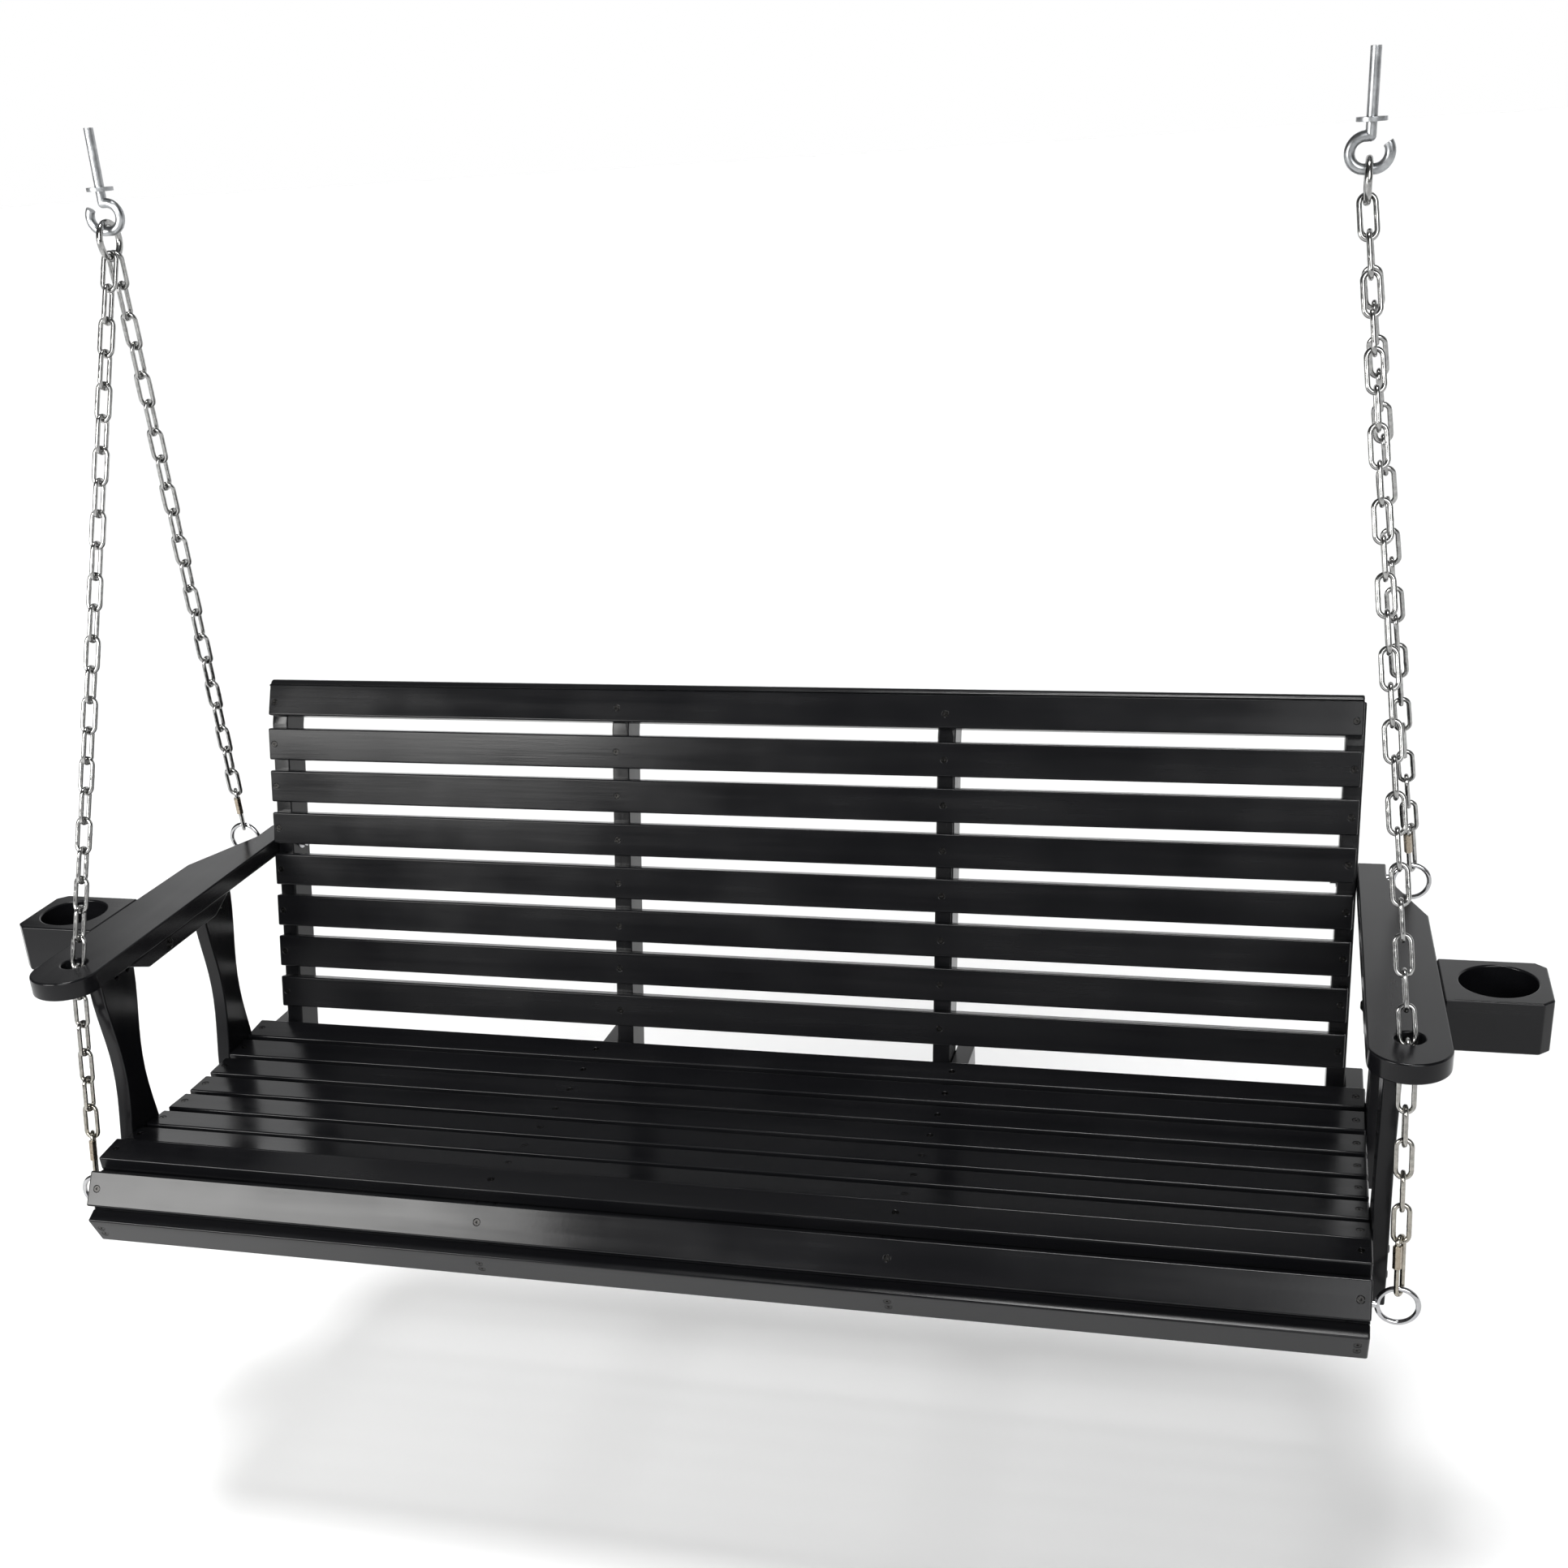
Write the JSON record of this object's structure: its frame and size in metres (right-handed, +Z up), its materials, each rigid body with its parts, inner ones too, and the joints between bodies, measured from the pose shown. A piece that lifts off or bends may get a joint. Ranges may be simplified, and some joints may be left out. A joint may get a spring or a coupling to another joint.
{
  "type": "porch swing",
  "caption": "Hanging garden bench with a slatted seat and leaning slatted back, arms with cup holders, and paired chains to ceiling hooks that it swings from.",
  "frame": {"origin": "midway between the two ceiling hooks, on the line through their lowest points that the swing turns about", "axes": "+X along the seat to the sitter's left, +Y to the back of the swing, +Z up"},
  "size_m": [1.75, 0.6158, 1.1835],
  "materials": {
    "painted_wood": "satin",
    "zinc_chain": "satin",
    "chrome_ring": "polished",
    "sleeve_steel": "satin",
    "galvanised_hook": "satin",
    "fastener_steel": "satin"
  },
  "bodies": {
    "hooks": {"ceiling_hooks": "galvanised_hook"},
    "swing_body": {"top_ring_left": "zinc_chain", "top_ring_right": "zinc_chain", "front_chain_left": "zinc_chain", "front_chain_right": "zinc_chain", "rear_chain_left": "zinc_chain", "rear_chain_right": "zinc_chain", "front_quick_link_left": "zinc_chain", "front_quick_link_right": "zinc_chain", "rear_quick_link_left": "zinc_chain", "rear_quick_link_right": "zinc_chain", "front_eye_bolt_left": "chrome_ring", "front_eye_bolt_right": "chrome_ring", "rear_eye_bolt_left": "chrome_ring", "rear_eye_bolt_right": "chrome_ring", "seat_slat_1": "painted_wood", "seat_slat_2": "painted_wood", "seat_slat_3": "painted_wood", "seat_slat_4": "painted_wood", "seat_slat_5": "painted_wood", "seat_slat_6": "painted_wood", "seat_slat_7": "painted_wood", "seat_slat_8": "painted_wood", "back_slat_1": "painted_wood", "back_slat_2": "painted_wood", "back_slat_3": "painted_wood", "back_slat_4": "painted_wood", "back_slat_5": "painted_wood", "back_slat_6": "painted_wood", "back_slat_7": "painted_wood", "back_slat_8": "painted_wood", "front_board": "painted_wood", "apron_board": "painted_wood", "nose_rails": "painted_wood", "seat_rib_left": "painted_wood", "seat_rib_mid_left": "painted_wood", "seat_rib_mid_right": "painted_wood", "seat_rib_right": "painted_wood", "back_upright_left": "painted_wood", "back_upright_mid_left": "painted_wood", "back_upright_mid_right": "painted_wood", "back_upright_right": "painted_wood", "front_post_left": "painted_wood", "front_post_right": "painted_wood", "rear_post_left": "painted_wood", "rear_post_right": "painted_wood", "arm_left": "painted_wood", "arm_right": "painted_wood", "arm_rail_left": "painted_wood", "arm_rail_right": "painted_wood", "cup_holder_left": "painted_wood", "cup_holder_right": "painted_wood", "slat_screws": "fastener_steel", "arm_screws": "fastener_steel", "frame_bolts": "fastener_steel", "cup_holder_bolts": "fastener_steel"},
    "front_link_sleeve_left": {"front_link_sleeve_left": "sleeve_steel"},
    "front_link_sleeve_right": {"front_link_sleeve_right": "sleeve_steel"},
    "rear_link_sleeve_left": {"rear_link_sleeve_left": "sleeve_steel"},
    "rear_link_sleeve_right": {"rear_link_sleeve_right": "sleeve_steel"}
  },
  "joints": [
    {"name": "swing", "type": "hinge", "parent": "hooks", "child": "swing_body", "pos_m": [0, 0, 0], "axis": [1, 0, 0], "range_deg": [-28, 28]},
    {"name": "front_link_left_nut", "type": "slide", "parent": "swing_body", "child": "front_link_sleeve_left", "axis": [0.0316, 0.1618, 0.9863], "range_m": [-0.018, 0]},
    {"name": "front_link_right_nut", "type": "slide", "parent": "swing_body", "child": "front_link_sleeve_right", "axis": [-0.0316, 0.1618, 0.9863], "range_m": [-0.018, 0]},
    {"name": "rear_link_left_nut", "type": "slide", "parent": "swing_body", "child": "rear_link_sleeve_left", "axis": [0.1286, -0.2687, 0.9546], "range_m": [-0.018, 0]},
    {"name": "rear_link_right_nut", "type": "slide", "parent": "swing_body", "child": "rear_link_sleeve_right", "axis": [-0.1286, -0.2687, 0.9546], "range_m": [-0.018, 0]}
  ]
}
